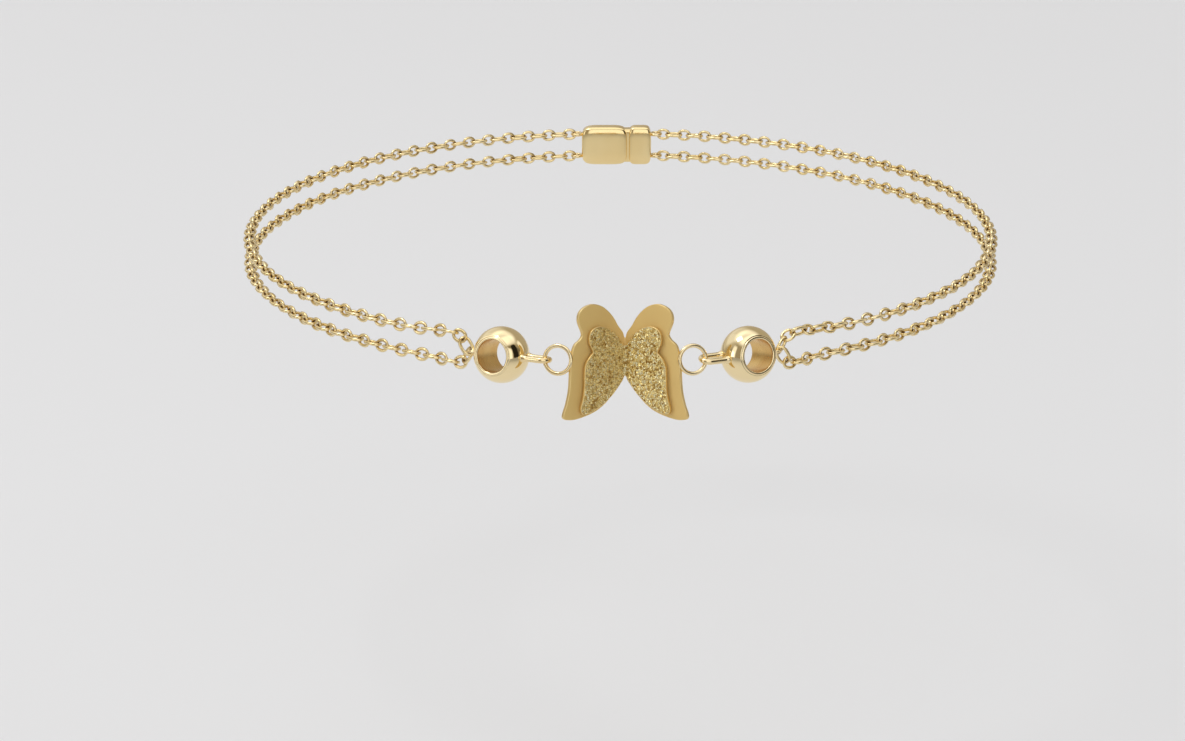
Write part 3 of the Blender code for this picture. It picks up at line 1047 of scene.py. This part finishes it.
def card_group():
    """Soft patch of light or dark on the studio's dome: it compares the direction's parts
    along a card's own right and up with its half width and height, and fades at the rim."""
    tree, given, out = group(
        "studio_card",
        [
            ("Towards", "NodeSocketVector", (0, 0, 1)),
            ("Right", "NodeSocketVector", (1, 0, 0)),
            ("Up", "NodeSocketVector", (0, 0, 1)),
            ("Half Width", "NodeSocketFloat", 0.3),
            ("Half Height", "NodeSocketFloat", 0.3),
            ("Fade", "NodeSocketFloat", 0.5),
        ],
        [("Mask", "NodeSocketFloat")],
    )
    place = node(tree, "ShaderNodeTexCoord")
    direction = node(
        tree, "ShaderNodeVectorMath", [(0, place.outputs["Generated"])], operation="NORMALIZE"
    )

    def part(label):
        return node(
            tree,
            "ShaderNodeVectorMath",
            [(0, direction.outputs[0]), (1, given.outputs[label])],
            operation="DOT_PRODUCT",
        ).outputs["Value"]

    def maths(operation, first, second=0.0):
        sockets = [(0, first), (1, second)]
        return node(tree, "ShaderNodeMath", sockets, operation=operation).outputs[0]

    across = maths("DIVIDE", part("Right"), given.outputs["Half Width"])
    upward = maths("DIVIDE", part("Up"), given.outputs["Half Height"])
    size = maths(
        "POWER",
        maths(
            "ADD",
            maths("POWER", maths("ABSOLUTE", across), 4.0),
            maths("POWER", maths("ABSOLUTE", upward), 4.0),
        ),
        0.25,
    )
    rim = maths("ADD", given.outputs["Fade"], 1.0)
    fade = node(
        tree,
        "ShaderNodeMapRange",
        [("Value", size), ("From Min", rim), ("From Max", 1.0)],
        interpolation_type="SMOOTHSTEP",
    )
    ahead = maths("GREATER_THAN", part("Towards"), 0.0)
    tree.links.new(maths("MULTIPLY", fade.outputs["Result"], ahead), out.inputs["Mask"])
    return tree


# Cards: azimuth from the front towards the right, elevation, half width and half height in
# degrees, fade as a share of the half size, and what the card adds to the dome's light
CARDS = (
    (-61.0, 13.0, 8.0, 20.0, 0.5, 0.75),
    (-64.0, 7.0, 5.0, 8.0, 0.8, 0.9),
    (180.0, 25.0, 55.0, 45.0, 0.22, 0.26),
    (-140.0, 42.0, 24.0, 20.0, 0.6, 0.25),
    (12.0, 14.0, 22.0, 22.0, 0.35, 0.90),
    (36.0, 70.0, 26.0, 14.0, 0.7, 0.38),
    (115.0, 15.0, 50.0, 45.0, 0.3, -0.16),
    (57.0, 13.0, 10.0, 27.0, 0.3, -1.50),
    (100.0, 20.0, 7.0, 14.0, 0.7, 0.60),
)
# The dome brightens from the low to the high light between two values of the direction's Z
DOME_LOW = 0.34
DOME_HIGH = 0.94
DOME_FROM = 0.66
DOME_TO = 0.92
DOME_LEAST = 0.02
# Its tint goes from the dark to the bright one between two strengths
DARK_TINT = (1.0, 0.87, 0.64, 1)
BRIGHT_TINT = (0.99, 1.0, 1.03, 1)
TINT_FROM = 0.25
TINT_TO = 0.85
KEY_AT = (-0.295, -0.055, 0.634)
KEY_TARGET = (0.0, -0.02, 0.0)
KEY_SIZE = 0.22
KEY_POWER = 0.8
KEY_TINT = (0.99, 1.0, 1.0)

world = bpy.data.worlds.new("studio")
bpy.context.scene.world = world
world.use_nodes = True
tree = world.node_tree
tree.nodes.clear()
place = node(tree, "ShaderNodeTexCoord")
height = node(tree, "ShaderNodeSeparateXYZ", [(0, place.outputs["Generated"])])
light = node(
    tree,
    "ShaderNodeMapRange",
    [
        ("Value", height.outputs["Z"]),
        ("From Min", DOME_FROM),
        ("From Max", DOME_TO),
        ("To Min", DOME_LOW),
        ("To Max", DOME_HIGH),
    ],
    interpolation_type="SMOOTHSTEP",
).outputs["Result"]
studio_card = card_group()
for azimuth, elevation, half_width, half_height, fade, gain in CARDS:
    az, el = np.radians(azimuth), np.radians(elevation)
    towards = (np.sin(az) * np.cos(el), -np.cos(az) * np.cos(el), np.sin(el))
    right = (np.cos(az), np.sin(az), 0.0)
    sockets = [
        ("Towards", towards),
        ("Right", right),
        ("Up", np.cross(towards, right)),
        ("Half Width", np.sin(np.radians(half_width))),
        ("Half Height", np.sin(np.radians(half_height))),
        ("Fade", fade),
    ]
    card = node(tree, "ShaderNodeGroup", sockets, node_tree=studio_card)
    light = node(
        tree,
        "ShaderNodeMath",
        [(0, card.outputs["Mask"]), (1, gain), (2, light)],
        operation="MULTIPLY_ADD",
    ).outputs[0]
sockets = [(0, light), (1, DOME_LEAST)]
light = node(tree, "ShaderNodeMath", sockets, operation="MAXIMUM").outputs[0]
sockets = [("Value", light), ("From Min", TINT_FROM), ("From Max", TINT_TO)]
strong = node(tree, "ShaderNodeMapRange", sockets)
tint = blend(tree, strong.outputs["Result"], DARK_TINT, BRIGHT_TINT)
background = node(tree, "ShaderNodeBackground", [("Color", tint), ("Strength", light)])
node(tree, "ShaderNodeOutputWorld", [("Surface", background.outputs[0])])


def softbox(name, at, target, size, power, colour):
    """Square area light at a point, turned to its target."""
    lamp = bpy.data.lights.new(name, "AREA")
    lamp.size = size
    lamp.energy = power
    lamp.color = colour
    made = bpy.data.objects.new(name, lamp)
    made.location = at
    aim = np.array(target) - np.array(at)
    made.rotation_mode = "QUATERNION"
    made.rotation_quaternion = Vector(aim).to_track_quat("-Z", "Y")
    bpy.context.scene.collection.objects.link(made)


softbox("key_softbox", KEY_AT, KEY_TARGET, KEY_SIZE, KEY_POWER, KEY_TINT)

# Camera at the picture's own viewing angle
CAMERA_AT = np.array([-4.70, -383.08, 115.03]) * MM
CAMERA_PITCH = np.radians(18.668)
CAMERA_PAN = np.radians(0.264)
CAMERA_LENS = 114.9
eye = bpy.data.cameras.new("camera")
eye.lens = CAMERA_LENS
eye.sensor_width = 36.0
eye.clip_start = 0.01
camera = bpy.data.objects.new("camera", eye)
camera.location = CAMERA_AT
camera.rotation_euler = (np.pi / 2 - CAMERA_PITCH, 0.0, -CAMERA_PAN)
bpy.context.scene.collection.objects.link(camera)
bpy.context.scene.camera = camera
bpy.context.scene.view_settings.view_transform = "Standard"
